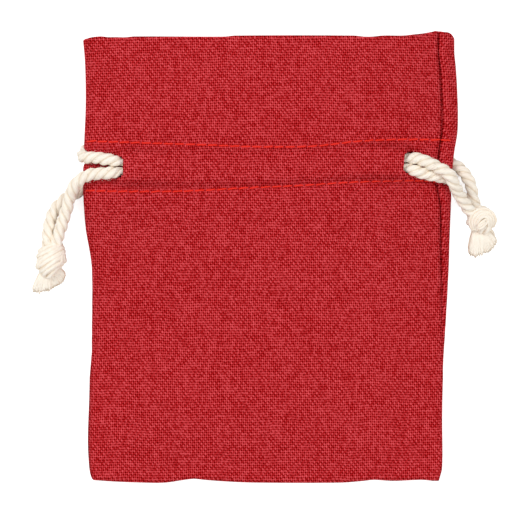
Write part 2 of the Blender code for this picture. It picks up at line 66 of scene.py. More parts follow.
# Height of the front at the middle of the bag, by distance up the bag
ARCH = ((-64.0, 1.6), (-58.0, 3.4), (-45.0, 5.8), (-20.0, 8.8), (0.0, 10.8),
        (14.0, 12.4), (26.0, 12.9), (40.0, 12.8), (64.0, 12.3))
ARCH_POWER = 3.0

# Outline, seen from above
LEFT_SIDE = ((-64.0, -50.0), (-60.0, -50.8), (-52.0, -51.2), (-39.0, -50.8), (-19.0, -50.5),
             (-3.7, -50.5), (1.4, -51.1), (8.2, -52.2), (18.4, -52.8), (25.0, -52.8),
             (33.0, -52.5), (44.0, -52.2), (55.8, -52.5), (61.4, -53.0))
RIGHT_SIDE = ((-63.5, 47.7), (-59.7, 48.6), (-45.0, 48.6), (-32.5, 48.9), (-22.4, 49.4),
              (-12.2, 50.0), (-2.0, 50.5), (10.0, 50.8), (20.4, 51.1), (25.2, 51.4),
              (30.0, 51.9), (35.4, 52.8), (41.0, 53.0), (45.6, 52.9), (52.4, 52.6), (58.0, 52.05))
BOTTOM_END = ((-50.0, -63.2), (-44.0, -63.6), (-36.0, -63.9), (-30.0, -63.9), (-24.4, -63.1),
              (-21.6, -62.8), (-18.8, -63.1), (-12.0, -63.6), (-4.0, -63.9), (20.0, -63.9),
              (26.5, -63.4), (29.3, -63.1), (35.0, -63.4), (43.0, -63.1), (46.3, -63.4))
TOP_END = ((-52.8, 61.7), (-49.9, 62.2), (-44.3, 62.35), (-41.4, 62.3), (-38.6, 62.55),
           (-13.0, 62.5), (-10.0, 62.8), (23.7, 62.8), (26.5, 62.5), (29.0, 62.5),
           (32.0, 62.8), (37.8, 62.8), (40.6, 63.1), (43.5, 63.4), (46.7, 63.9),
           (49.1, 63.6), (50.9, 63.4), (52.0, 62.3))

# The front's top edge stands a little lower than the back's, most of all right of this stretch
FRONT_LOWER = 0.75
FRONT_LOWER_LEFT = 0.5
FRONT_LOWER_RUN = (-42.0, -37.5)
FRONT_LOWER_START = (4.5, 8.5)

# Slow waves of the front: length, height and seed of each, their stretch up the bag and their fade
WAVES = ((24.0, 0.32, 3.0), (9.0, 0.13, 17.0))
WAVE_STRETCH = 1.4
WAVE_FADE = 9.0

# Side seams: how far each has rolled round its edge, by height, and the groove along it
SEAM_ROLL = ((-34.0, 0.0), (-25.0, 0.7), (-18.0, 1.6), (-1.0, 2.9), (14.0, 3.6), (20.0, 4.7),
             (30.0, 5.0), (42.0, 5.2), (64.0, 5.25))
SEAM_GROOVE = 1.8
SEAM_GROOVE_REACH = 0.54
SEAM_GROOVE_ROLL = 3.0

# Stitch rows, by distance across
UPPER_ROW = ((-52.5, 32.8), (-35.5, 32.1), (-15.4, 31.4), (-5.2, 31.0), (11.8, 31.1),
             (24.5, 32.5), (37.2, 33.1), (52.0, 33.0))
LOWER_ROW = ((-52.5, 18.8), (-42.6, 18.5), (-25.3, 18.5), (-5.2, 19.5), (8.1, 20.1),
             (24.5, 21.1), (37.2, 21.5), (44.0, 21.5), (52.0, 21.1))
THREAD = 0.53
THREAD_SIDES = 7
THREAD_STEP = 0.3
STITCH = 3.1
EDGE_STITCH = 1.4
# A stitch's line: share of its length, and height of its middle above the cloth
STITCH_LINE = ((0.1, -0.45), (0.16, 0.0), (0.32, 0.15), (0.7, 0.15), (0.86, 0.0), (0.92, -0.45))
STITCH_SLANT = (0.12, 0.05)
ROW_LIFT = 0.95
ROW_LIFT_RUN = (0.4, 2.2)
ROW_PUCKER = 0.28
ROW_PUCKER_REACH = 0.8

# Cord holes, by their distance along the cloth from the nearer side seam
FAR_HOLE = 17.0
NEAR_HOLE = 9.75
CHANNEL_HEIGHT = 25.5
HOLE_STEP = 2.6
SLIT_HALF = 3.0
HOLE_CORNER = 0.9
FRONT_SLIT = (-HOLE_STEP, 0.1)
BACK_SLIT = (-2.6, 1.35)
HOLE_SAG = 0.8
HOLE_SAG_RUN = (26.0, 36.0)

# Channel: its bulge by distance from the cords' line, and the outer layer's share of it
BULGE_FLAT = 3.0
BULGE_FOOT = 6.0
SHARE_START = 3.0
SHARE_RUN = 18.0
MIDDLE_SHARE = 0.5

# Heights up the bag at which a cord wraps round each edge, and how the edges are held up there
LEFT_WRAP = 28.2
RIGHT_WRAP = 22.3
LIFT_FLAT = 4.2
LIFT_SPREAD = 3.2
LIFT = ((-2.0, 0.0), (8.0, 0.35), (16.5, 1.0), (31.0, 1.0), (40.0, 0.45), (52.0, 0.0))

# Grid of the cloth: columns by distance from a seam, the margin and the steps round a cord hole
SEAM_COLUMNS = (0.0, 0.1, 0.2, 0.32, 0.48, 0.7, 1.0, 1.5)
SIDE_STEP = 0.62
HOLE_MARGIN = 0.3
HOLE_COLUMN_STEP = 0.45
PAST_HOLE = 4.5
PAST_HOLE_STEP = 0.8
MIDDLE_STEP = 1.2
GRID_WIDTH = 106.0
PANELS = {
    "front": ((FAR_HOLE, FRONT_SLIT), (NEAR_HOLE, FRONT_SLIT)),
    "back": ((NEAR_HOLE, BACK_SLIT), (FAR_HOLE, BACK_SLIT)),
}

# Levels up the bag: bottom fold, hem's raw edge, lower row, upper row, top fold
BOTTOM, HEM, LOWER, UPPER, TOP = range(5)

# Rows of the cloth: distances from the bottom fold and from a stitch row, then runs of levels with their step
FOLD_ROWS = (0.0, 0.06, 0.2, 0.4, 0.65, 0.95, 1.3, 2.0, 3.0, 4.0)
STITCH_ROWS = (-1.0, -0.65, -0.3, 0.0, 0.3, 0.65, 1.0)
LINING_ROWS = (1.0, 0.3, -0.3, -1.0)
BODY_LEVELS = (0.055, 0.985, 0.0155)
CHANNEL_LEVELS = (2.09, 2.89, 0.05)
MOUTH_LEVELS = (3.035, 3.965, 0.043)

# Cord routes outside the bag, from the knots on
LEFT_FRONT_LEG = ((-60.5, 4.2, 5.1), (-59.8, 6.9, 5.3), (-58.9, 9.5, 5.5), (-58.2, 11.8, 5.8),
                  (-57.5, 14.1, 6.2), (-56.9, 16.4, 6.8), (-56.1, 18.6, 7.7), (-55.0, 20.6, 8.7),
                  (-53.3, 22.1, 9.5), (-51.0, 23.1, 10.1), (-48.8, 23.4, 10.4))
LEFT_BACK_LEG = ((-44.0, 22.8, 1.8), (-48.0, 22.0, 1.8), (-51.0, 20.6, 1.85), (-52.8, 19.4, 1.9),
                 (-54.5, 18.5, 2.05), (-56.3, 17.7, 2.25), (-58.1, 16.6, 2.5), (-59.8, 15.0, 2.8),
                 (-61.3, 13.1, 3.2), (-62.3, 10.7, 3.6), (-62.9, 8.2, 4.0), (-63.1, 5.9, 4.3),
                 (-63.1, 4.1, 4.5))
RIGHT_FRONT_LEG = ((56.2, 13.6, 5.6), (54.3, 16.2, 7.4), (52.8, 18.6, 9.6), (51.5, 20.9, 11.9),
                   (50.0, 23.3, 13.4), (47.4, 25.0, 13.5), (44.6, 26.4, 12.8), (41.8, 27.6, 12.2))
RIGHT_BACK_LEG = ((44.0, 28.6, 1.8), (48.0, 28.0, 1.85), (51.8, 26.6, 2.05), (54.7, 24.3, 2.3),
                  (56.4, 21.7, 2.5), (57.2, 19.1, 2.8), (57.5, 16.6, 2.9), (58.2, 14.4, 2.9))
CHANNEL_STOPS = (-35.0, -25.0, -12.0, 0.0, 12.0, 24.0, 32.0)
LEFT_CORD_ENTRY = (-45.0, 23.7)
LEFT_CORD_OVER = ((41.0, 24.2), (44.0, 23.4), (47.2, 22.8))
LEFT_CORD_UNDER = ((46.3, 20.8), (43.0, 23.2))
RIGHT_CORD_OVER = ((-45.0, 27.3), (-48.5, 27.9))
RIGHT_CORD_UNDER = ((-47.0, 30.3), (-43.0, 28.4))
# A cord's half turn round an edge: degrees above the side, and the share of its tilt reached there
WRAP_TURN = ((66, -0.04), (33, 0.0), (0, 0.15), (-36, 0.65), (-72, 1.0))
LEFT_WRAP_TILT = 3.6
RIGHT_WRAP_TILT = -3.0
# The lay of the strands, and a cord's radius inside, outside and at the cord holes
ROPE_LAY = 8.4
ROPE_STEP = 0.45
ROPE_INSIDE = 1.7
ROPE_OUTSIDE = 1.8
ROPE_FILL_RUN = (-1.0, 3.0)
ROPE_SQUEEZE = 0.5
ROPE_SQUEEZE_REACH = 1.8
ROPE_SIDES = 30
ROPE_STRANDS = 3
STRAND_SHARE = 0.64
HOLE_PAIR = 2.7
FRONT_CORDS_ABOVE = 4.5
UNDER_LEVEL = FLOOR_GAP / 2 + ROPE_INSIDE
LEFT_ENDS = ((-61.3, 1.4, 4.6), (-62.8, 1.2, 3.6))
RIGHT_ENDS = ((58.0, 11.4, 4.6), (59.4, 12.0, 3.4))

# Loose fibres on the cords
HAIRS = 240
HAIR = 0.07
HAIR_ROOT = 0.85
HAIR_STEP = 0.4

# Knots, about each one's middle. Rows of turns: lean in degrees, size, shear, wander,
# radius in strands, and the distances across at which the turns lie
STRAND = 0.62
STRAND_STEP = 0.4
STRAND_SIDES = 12
LEFT_KNOT_PLACE = (-62.1, -0.5, 4.1)
LEFT_TURNS = (
    (32, (4.5, 3.55, 3.6), 0.36, 0.1, 1.3, (-3.3, -2.3, -1.2, -0.05, 1.1, 2.15, 3.05)),
    (70, (3.7, 3.4, 2.9), 0.0, 0.0, 1.6, (-1.6, 0.0, 1.6)),
    *((lean, (3.1, 3.6, 3.0), -0.35, 0.0, 1.25, (across,))
      for lean, across in ((76, 2.5), (84, 3.1), (80, -2.7), (88, -3.2))))
RIGHT_KNOT_PLACE = (59.9, 10.6, 4.05)
RIGHT_TURNS = (
    (58, (3.7, 3.5, 2.5), 0.0, 0.0, 1.4, (-2.4, -1.2, 0.0, 1.2, 2.3)),
    (-20, (3.8, 3.0, 2.6), 0.0, 0.0, 1.4, (-1.8, -0.6, 0.6, 1.7)))
# The band over the right knot: each point of its first strand, and how far it moves for each strand
BAND = (((-2.6, -3.0, 0.9), (0.55, 0.0, 0.0)), ((-3.4, -0.3, 1.7), (0.95, -0.25, 0.45)),
        ((-2.3, 1.8, 2.1), (0.7, -0.75, 0.42)), ((0.1, 2.95, 2.0), (0.15, -0.95, 0.45)),
        ((2.6, 2.1, 1.9), (-0.45, -0.85, 0.45)), ((3.75, 0.0, 1.6), (-0.85, -0.5, 0.45)),
        ((3.2, -2.0, 0.7), (-0.8, -0.1, 0.0)))
BAND_STRANDS = (0.0, 0.75, 1.5, 2.25)
BAND_RADIUS = 0.88
# The eye beside the band: its loops as half sizes, height and radius in strands
EYE_PLACE = (0.1, -1.3)
EYE_LEAN = math.radians(42)
EYE_LOOPS = (((1.75, 0.62), 3.05, 0.64), ((1.1, 0.05), 3.15, 0.6))

# Frayed ends: the neck they leave the knot by, and the line that their tips reach
LEFT_FRAY = (((-64.0, -2.6), (-60.8, -2.4)),
             ((-67.6, -9.4), (-66.9, -10.1), (-65.6, -10.3), (-63.5, -9.8), (-61.8, -8.9), (-60.4, -8.2),
              (-59.0, -7.2), (-58.1, -5.8), (-58.4, -4.6)))
RIGHT_FRAY = (((57.7, 8.0), (60.9, 8.0)),
              ((56.4, 1.9), (56.7, 0.6), (58.0, -0.1), (59.6, 0.3), (61.2, 1.0), (62.7, 2.0), (63.9, 3.3),
               (64.3, 4.6), (63.4, 5.6)))
THICK_TUFTS = 30
FINE_TUFTS = 70
STRAY_TUFTS = 18
THICK_RADIUS = 0.62
FINE_RADII = (0.2, 0.38)
STRAY_RADIUS = 0.06
# Heights of a fan at its neck, its middle and its tips, the lowest tip, and how far the lower tufts lie below
FAN_NECK = 4.2
FAN_MIDDLE = 3.7
FAN_TIP = 2.9
FAN_LOWEST = 0.7
FAN_LAYER = 1.3
TUFT_STEP = 0.8

# Colours
# The red runs from RED_DEEP through RED_YARN to RED_LIGHT by the weave's lightness, which holds painted shade
# and highlight besides the yarns' uneven tone: RED_DEEP is mostly the painted shadow in the pin-holes,
# RED_LIGHT the painted highlight on the yarn tops and the lighter yarns.
RED_DEEP = (0.152, 0.0, 0.0)
RED_YARN = (0.42, 0.004, 0.006)
RED_LIGHT = (0.735, 0.088, 0.104)
CREAM = (1.0, 0.9, 0.77)
CREAM_LIGHT = (1.0, 0.95, 0.86)
# Painted shade of the cream cotton, laid in its grooves, between its fibres and on faces that turn aside
CREAM_PAINTED_SHADE = (0.74, 0.57, 0.38)
ORANGE = (0.88, 0.022, 0.009)
# Painted shade of the thread, laid in the low places between its fibres
ORANGE_PAINTED_SHADE = (0.62, 0.012, 0.006)

# Lights: place and size in metres, and power in watts
KEY_LIGHT = ((-0.5, 0.48, 0.86), 0.45, 4.7)
FILL_LIGHT = ((0.6, -0.4, 1.0), 0.9, 4.4)
WORLD_STRENGTH = 0.58
FLOOR_HALF = 1.5
FLOOR_GREY = (0.8, 0.8, 0.8, 1.0)
FLOOR_GLOW = 0.72

# Camera, in metres: straight above the middle of the picture, whose 530 pixels span 150 mm at the bag
CAMERA_OVER = (-0.00153, -0.00226)
CAMERA_HEIGHT = 1.0
SENSOR = 36.0
PICTURE_WIDTH = 0.150
BAG_LEVEL = 0.006


def ramp(start, end, value):
    """0 before start and 1 after end, with a smooth rise between."""
    share = min(max((value - start) / (end - start), 0.0), 1.0)
    return share * share * (3.0 - 2.0 * share)


def cubic(t):
    """Weights of a step's start, slope there, end and slope there, at a share of the step."""
    return 2 * t**3 - 3 * t**2 + 1, t**3 - 2 * t**2 + t, 3 * t**2 - 2 * t**3, t**3 - t**2


def curve_at(points, value):
    """A smooth curve through points (place, amount), level past its ends."""
    if value <= points[0][0]:
        return points[0][1]
    if value >= points[-1][0]:
        return points[-1][1]
    count = len(points)
    k = next(i for i in range(1, count) if value <= points[i][0])
    (x0, y0), (x1, y1) = points[k - 1], points[k]
    before = points[k - 2] if k > 1 else points[k - 1]
    after = points[k + 1] if k + 1 < count else points[k]
    width = x1 - x0
    slope0 = (y1 - before[1]) / (x1 - before[0])
    slope1 = (after[1] - y0) / (after[0] - x0)
    at_start, leaving, at_end, arriving = cubic((value - x0) / width)
    return at_start * y0 + leaving * width * slope0 + at_end * y1 + arriving * width * slope1


def seam_run():
    """How far each side seam lies past the rounded edge, at the channel."""
    return curve_at(SEAM_ROLL, CHANNEL_HEIGHT) - math.pi * EDGE_RADIUS / 2


def hole_places():
    """The four holes' distances across the bag: front left and right, then back left and right."""
    left = curve_at(LEFT_SIDE, CHANNEL_HEIGHT) + EDGE_RADIUS
    right = curve_at(RIGHT_SIDE, CHANNEL_HEIGHT) - EDGE_RADIUS
    around = math.pi * EDGE_RADIUS + seam_run()
    return (left + FAR_HOLE - around, right - NEAR_HOLE - seam_run(),
            left + NEAR_HOLE + seam_run(), right - FAR_HOLE + around)


FRONT_LEFT_HOLE, FRONT_RIGHT_HOLE, BACK_LEFT_HOLE, BACK_RIGHT_HOLE = hole_places()


def channel_mid(x):
    """The cords' line up the bag, which sags towards the right holes."""
    return 0.5 * (curve_at(UPPER_ROW, x) + curve_at(LOWER_ROW, x)) - HOLE_SAG * ramp(*HOLE_SAG_RUN, x)


def side_lift(y):
    """Height of the underside at the bag's edges."""
    return UNDER_LIFT * min(max(curve_at(LIFT, y), 0.0), 1.0)


def edge_level(y):
    """Height of the middle of the rounded edge."""
    return CLOTH / 2 + EDGE_RADIUS + side_lift(y)


def dents(y):
    """How far a cord draws each edge in where it wraps round it."""
    return [WRAP_DENT * math.exp(-(((y - wrap) / WRAP_DENT_REACH) ** 2))
            for wrap in (LEFT_WRAP, RIGHT_WRAP)]


def sides(y):
    """The two edges at a height, with their dents."""
    left_dent, right_dent = dents(y)
    return curve_at(LEFT_SIDE, y) + left_dent, curve_at(RIGHT_SIDE, y) - right_dent


def drawn_in(x, y):
    """Where a point of the flat cloth lies once the dents, which fade inwards, have moved it."""
    left_dent, right_dent = dents(y)
    left_fade = 1 - ramp(EDGE_RADIUS, WRAP_DENT_RUN, x - curve_at(LEFT_SIDE, y))
    right_fade = 1 - ramp(EDGE_RADIUS, WRAP_DENT_RUN, curve_at(RIGHT_SIDE, y) - x)
    return x + left_dent * left_fade - right_dent * right_fade


def front_height(x, y):
    """The front's outer layer, without the channel's bulge."""
    left, right = sides(y)
    across = abs(2 * (x - left) / (right - left) - 1)
    top_of_edge = edge_level(y) + EDGE_RADIUS
    rise = max(curve_at(ARCH, y) - top_of_edge, 0.0)
    return top_of_edge + rise * (1 - min(across, 1.0) ** ARCH_POWER)


def between_holes(x, left_hole, right_hole):
    half = HOLE_STEP / 2
    return (ramp(left_hole - half, left_hole + half, x)
            * (1 - ramp(right_hole - half, right_hole + half, x)))


def channel_bulge(x, y):
    return 1 - ramp(BULGE_FLAT, BULGE_FOOT, abs(y - channel_mid(x)))


def outer_share(x):
    """The share of the front's bulge that its outer layer takes."""
    from_hole = min(x - FRONT_LEFT_HOLE, FRONT_RIGHT_HOLE - x)
    return 1 - (1 - MIDDLE_SHARE) * ramp(SHARE_START, SHARE_RUN, from_hole)


def front_bulges(x, y):
    """How far the front's outer layer rises at the channel, and how far its inner layer sinks."""
    lip = HOLE_STEP / 2
    inside = between_holes(x, FRONT_LEFT_HOLE - lip, FRONT_RIGHT_HOLE + lip)
    bulge = TUNNEL * channel_bulge(x, y) * inside
    return bulge * outer_share(x), bulge * (1 - outer_share(x))


def from_row(x, y):
    return min(abs(y - curve_at(UPPER_ROW, x)), abs(y - curve_at(LOWER_ROW, x)))


def row_lift(x, y):
    """The underside rises off the floor along each stitch row, by the thread below it."""
    return ROW_LIFT * (1 - ramp(*ROW_LIFT_RUN, from_row(x, y)))


def row_pucker(x, y):
    """How far a stitch row draws the outer layer in."""
    return ROW_PUCKER * math.exp(-((from_row(x, y) / ROW_PUCKER_REACH) ** 2))


def back_heights(x, y):
    """The back's outer and inner layers."""
    near = HOLE_STEP / 2
    far = near + LIFT_SPREAD * ramp(LIFT_FLAT, BULGE_FOOT, abs(y - channel_mid(x)))
    lifted = side_lift(y) * (1 - ramp(BACK_LEFT_HOLE - near, BACK_LEFT_HOLE + far, x)
                             * (1 - ramp(BACK_RIGHT_HOLE - far, BACK_RIGHT_HOLE + near, x)))
    outer = CLOTH / 2 + max(lifted, row_lift(x, y))
    inner = CLOTH / 2 + LAYER + max(lifted, TUNNEL * channel_bulge(x, y), row_lift(x, y))
    return outer, inner


def waves(x, y):
    """Slow unevenness of the front, none at its edges."""
    left, right = sides(y)
    inside = ramp(0.0, WAVE_FADE, min(x - left, right - x))
    total = 0.0
    for length, height, seed in WAVES:
        total += height * noise.noise(Vector((x / length, y / (WAVE_STRETCH * length), seed)))
    return total * inside


def ring_sizes(y, closing):
    """The edges' radius, the flat run between them and the length of each edge's curve."""
    radius = EDGE_RADIUS * closing
    return radius, curve_at(RIGHT_SIDE, y) - curve_at(LEFT_SIDE, y) - 2 * radius, math.pi * radius


def section_point(ring, y, closing, inset, groove):
    """A point of the closed cross-section at height y, by its distance round the ring.

    ring is 0 where the left edge's curve meets the front. closing runs from 0 at the bottom fold to 1.
    inset is the distance inwards from the outer layer."""
    left, right = sides(y)
    radius, run, turn = ring_sizes(y, closing)
    start, end = curve_at(LEFT_SIDE, y) + radius, curve_at(RIGHT_SIDE, y) - radius
    level = edge_level(y)
    arc = max(radius - inset - groove, 0.0)
    if 0 <= ring <= run:
        x = drawn_in(start + ring, y)
        rise, sink = front_bulges(x, y)
        share = min(max(inset / LAYER, 0.0), 1.0)
        z = front_height(x, y) - inset - groove + rise * (1 - share) - sink * share
        z += waves(x, y) - row_pucker(x, y) * (1 - share)
    elif -turn < ring < 0 or run < ring < run + turn:
        centre, past = (left + radius, ring) if ring < 0 else (right - radius, ring - run)
        angle = math.pi / 2 - past / max(radius, 1e-6)
        return centre + arc * math.cos(angle), level + arc * math.sin(angle)
    else:
        x = drawn_in(start - ring - turn if ring < 0 else end - (ring - run - turn), y)
        outer_z, inner_z = back_heights(x, y)
        share = inset / LAYER
        z = outer_z * (1 - share) + inner_z * share + groove
    return x, level + (z - level) * closing


def front_drop(x):
    """How far the front's top edge stands below the back's. At the side seams they meet."""
    inwards = min(x - LEFT_SIDE[-1][1], RIGHT_SIDE[-1][1] - x)
    drop = FRONT_LOWER_LEFT + (FRONT_LOWER - FRONT_LOWER_LEFT) * ramp(*FRONT_LOWER_RUN, x)
    return drop * ramp(*FRONT_LOWER_START, inwards)


def level_height(panel, level, x):
    top = curve_at(TOP_END, x)
    if panel == "front":
        top -= front_drop(x)
    lines = (curve_at(BOTTOM_END, x), curve_at(LOWER_ROW, x) - HEM_MARGIN,
             curve_at(LOWER_ROW, x), curve_at(UPPER_ROW, x), top)
    k = min(int(level), 3)
    return lines[k] + (level - k) * (lines[k + 1] - lines[k])


def cloth_point(panel, column, row, reaches):
    """A point of the cloth's middle surface and its place on the flat cloth, both in millimetres.

    column is (side, distance from that side's seam), or a share of the way between them.
    row is (level, inset share, drop below that level)."""
    level, inset_share, drop = row
    inset = inset_share * LAYER
    x = 0.0
    for _ in range(3):
        y = level_height(panel, level, x) - drop
        above_fold = min((y - curve_at(BOTTOM_END, x)) / FOLD_RADIUS, 1.0)
        closing = math.sqrt(max(1 - (1 - above_fold) ** 2, 0.0))
        _, run, turn = ring_sizes(y, closing)
        roll = max(curve_at(SEAM_ROLL, y), 0.0)
        left_seam = -(turn / 2 + roll)
        right_seam = run + turn / 2 - roll
        if panel == "back":
            left_seam = 2 * run + 2 * turn + left_seam
        towards = 1 if panel == "front" else -1
        left_last = left_seam + towards * reaches[0]
        right_last = right_seam - towards * reaches[1]
        side, amount = column
        if side == "left":
            ring, away = left_seam + towards * amount, amount
        elif side == "right":
            ring, away = right_seam - towards * amount, amount
        else:
            ring, away = left_last + amount * (right_last - left_last), reaches[0]
        deep = SEAM_GROOVE * math.exp(-((away / SEAM_GROOVE_REACH) ** 2))
        deep *= min(roll / SEAM_GROOVE_ROLL, 1.0)
        x, z = section_point(ring, y, closing, inset, deep)
    middle = run / 2 if panel == "front" else run * 1.5 + turn
    up = y if inset_share < 0.5 else 2 * level_height(panel, TOP, x) - y
    return Vector((x, y, z)), (towards * (ring - middle), up)


def spaced(start, end, step):
    """Evenly spaced amounts from just past start to end, at most step apart."""
    count = max(1, math.ceil((end - start) / step))
    return [start + (end - start) * (k + 1) / count for k in range(count)]


def side_columns(hole, slit):
    """Distances of the grid's columns from a seam, closer at the seam and the cord hole."""
    out, inner = hole + slit[0], hole + slit[1]
    return [*SEAM_COLUMNS, *spaced(SEAM_COLUMNS[-1], out - 2 * HOLE_MARGIN, SIDE_STEP),
            out - HOLE_MARGIN, out, *spaced(out, inner, HOLE_COLUMN_STEP), inner + HOLE_MARGIN,
            *spaced(inner + HOLE_MARGIN, inner + PAST_HOLE, PAST_HOLE_STEP)]


def cloth_rows():
    """(level, inset share, drop below that level) of each row, from the bottom fold to the raw edge."""
    def between(levels, inset):
        return [(level, inset, 0.0) for level in levels]

    def beside(line, places, inset):
        return [(line, inset, -away) for away in places]

    channel, mouth = spaced(*CHANNEL_LEVELS), spaced(*MOUTH_LEVELS)
    turn = [math.radians(degrees) for degrees in range(0, 181, 30)]
    return [*beside(BOTTOM, FOLD_ROWS, 0.0), *between(spaced(*BODY_LEVELS), 0.0),
            *beside(LOWER, STITCH_ROWS, 0.0), *between(channel, 0.0),
            *beside(UPPER, STITCH_ROWS, 0.0), *between(mouth, 0.0),
            *((TOP, (1 - math.cos(angle)) / 2, LAYER / 2 * (1 - math.sin(angle))) for angle in turn),
            *between(reversed(mouth[::2]), 1.0), *beside(UPPER, LINING_ROWS, 1.0),
            *between(reversed(channel[::2]), 1.0), *beside(LOWER, LINING_ROWS, 1.0), (HEM, 1.0, 0.0)]


def new_bmesh():
    bm = bmesh.new()
    return bm, bm.loops.layers.uv.new("lay")


def grid(bm, across, along):
    """Adds a flat grid and gives its vertices' column and row numbers."""
    made = bmesh.ops.create_grid(bm, x_segments=across, y_segments=along, size=1.0)
    return {vertex: (round((vertex.co.x + 1) / 2 * across), round((vertex.co.y + 1) / 2 * along))
            for vertex in made["verts"]}


def in_scene(name, data):
    thing = bpy.data.objects.new(name, data)
    bpy.context.scene.collection.objects.link(thing)
    return thing


def mesh_object(name, bm, material):
    mesh = bpy.data.meshes.new(name)
    bm.to_mesh(mesh)
    bm.free()
    mesh.materials.append(material)
    return in_scene(name, mesh)


def finished(name, bm, material, node):
    """The bmesh as a piece of the pouch, in place of one node of the frame."""
    piece = mesh_object(name, bm, material)
    piece.data.shade_smooth()
    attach(piece, "root")
    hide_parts(node)
    return piece


def smooth_route(points, step):
    """Points close together on a smooth curve through the route."""
    stops = [Vector(point) for point in points]
    path = [stops[0]]
    for k in range(1, len(stops)):
        start, end = stops[k - 1], stops[k]
        before = stops[k - 2] if k > 1 else start
        after = stops[k + 1] if k + 1 < len(stops) else end
        length = (end - start).length
        leave = (end - before).normalized() * length
        arrive = (after - start).normalized() * length
        steps = max(1, math.ceil(length / step))
        for part in range(1, steps + 1):
            at_start, leaving, at_end, arriving = cubic(part / steps)
            path.append(at_start * start + leaving * leave + at_end * end + arriving * arrive)
    return path


def carried_frames(path):
    """Two directions across the path at each point, turned as little as may be from one to the next."""
    frames = []
    aside = None
    for k, point in enumerate(path):
        ahead = (path[min(k + 1, len(path) - 1)] - path[max(k - 1, 0)]).normalized()
        if aside is None:
            aside = Vector((0.0, 0.0, 1.0)) if abs(ahead.z) < 0.9 else Vector((1.0, 0.0, 0.0))
        aside = (aside - ahead * aside.dot(ahead)).normalized()
        frames.append((aside, ahead.cross(aside)))
    return frames


def sweep(bm, uv, path, around, section):
    """A closed tube along the path. section(angle, distance, share) is its radius at a point."""
    frames = carried_frames(path)
    places = grid(bm, around, len(path) - 1)
    distances = [0.0]
    for start, end in zip(path, path[1:]):
        distances.append(distances[-1] + (end - start).length)
    for face in {face for vertex in places for face in vertex.link_faces}:
        for loop in face.loops:
            column, row = places[loop.vert]
            loop[uv].uv = (column / around, distances[row])
    for vertex, (column, row) in places.items():
        angle = math.tau * (column % around) / around
        radius, turn = section(angle, distances[row], row / (len(path) - 1))
        aside, up = frames[row]
        out = aside * math.cos(angle + turn) + up * math.sin(angle + turn)
        vertex.co = (path[row] + out * radius) * MM
    bmesh.ops.remove_doubles(bm, verts=list(places), dist=1e-8)
    live = [vertex for vertex in places if vertex.is_valid]
    rims = {edge for vertex in live for edge in vertex.link_edges if edge.is_boundary}
    bmesh.ops.holes_fill(bm, edges=list(rims), sides=0)


def round_section(radius):
    return lambda angle, distance, share: (radius, 0.0)


def cord_radius(point):
    """A cord's radius at a point of its path: fuller out of the bag, squeezed at the cord holes."""
    in_front = point.z > FRONT_CORDS_ABOVE
    holes = (FRONT_LEFT_HOLE, FRONT_RIGHT_HOLE) if in_front else (BACK_LEFT_HOLE, BACK_RIGHT_HOLE)
    outside = max(holes[0] - point.x, point.x - holes[1])
    clear = outside if in_front else max(LEFT_SIDE[-1][1] - point.x, point.x - RIGHT_SIDE[-1][1])
    full = ROPE_INSIDE + (ROPE_OUTSIDE - ROPE_INSIDE) * ramp(*ROPE_FILL_RUN, clear)
    return full - ROPE_SQUEEZE * math.exp(-((outside / ROPE_SQUEEZE_REACH) ** 2))


def rope_section(path, lay, seed):
    """Three strands laid together, with a groove between each two."""
    def section(angle, distance, share):
        radius = cord_radius(path[round(share * (len(path) - 1))])
        turned = angle * ROPE_STRANDS / math.tau
        off = (turned % 1.0 - 0.5) * math.tau / ROPE_STRANDS
        middle, size = (1 - STRAND_SHARE) * radius, STRAND_SHARE * radius
        reach = middle * math.cos(off) + math.sqrt(size**2 - (middle * math.sin(off)) ** 2)
        index = math.floor(turned + 1e-6)
        swell = 1 + 0.1 * noise.noise(Vector((distance / 2.2, index * 3.7, seed)))
        wobble = 0.5 * noise.noise(Vector((distance / 7.0, seed, 0.0)))
        return reach * swell, wobble - math.tau * distance / lay
    return section


def in_front_channel(x, aside):
    """The middle of a cord inside the front of the channel, aside from the line between the two."""
    y = channel_mid(x)
    sink = TUNNEL * (1 - outer_share(x))
    inner = front_height(x, y) - LAYER - sink
    return x, y + aside, inner + CLOTH / 2 + CHANNEL_GAP + CORD / 2


def in_back_channel(x, aside):
    inner = CLOTH / 2 + LAYER + TUNNEL
    return x, channel_mid(x) + aside, inner - CLOTH / 2 - CHANNEL_GAP - CORD / 2


def over_front(x, y):
    """The middle of a cord that lies on the front."""
    return x, y, front_height(x, y) + CLOTH / 2 + WRAP_GAP + CORD / 2 + SLOPE_ROOM


def wrap_points(y, outwards, rise):
    """A cord's half turn round the bag's edge, from the front to the back."""
    edge = sides(y)[1] if outwards > 0 else sides(y)[0]
    radius = EDGE_RADIUS + CLOTH / 2 + WRAP_GAP + CORD / 2
    points = []
    for degrees, tilt in WRAP_TURN:
        angle = math.radians(degrees)
        x = edge + outwards * (radius * math.cos(angle) - EDGE_RADIUS)
        points.append((x, y + tilt * rise, edge_level(y) + radius * math.sin(angle)))
    return points


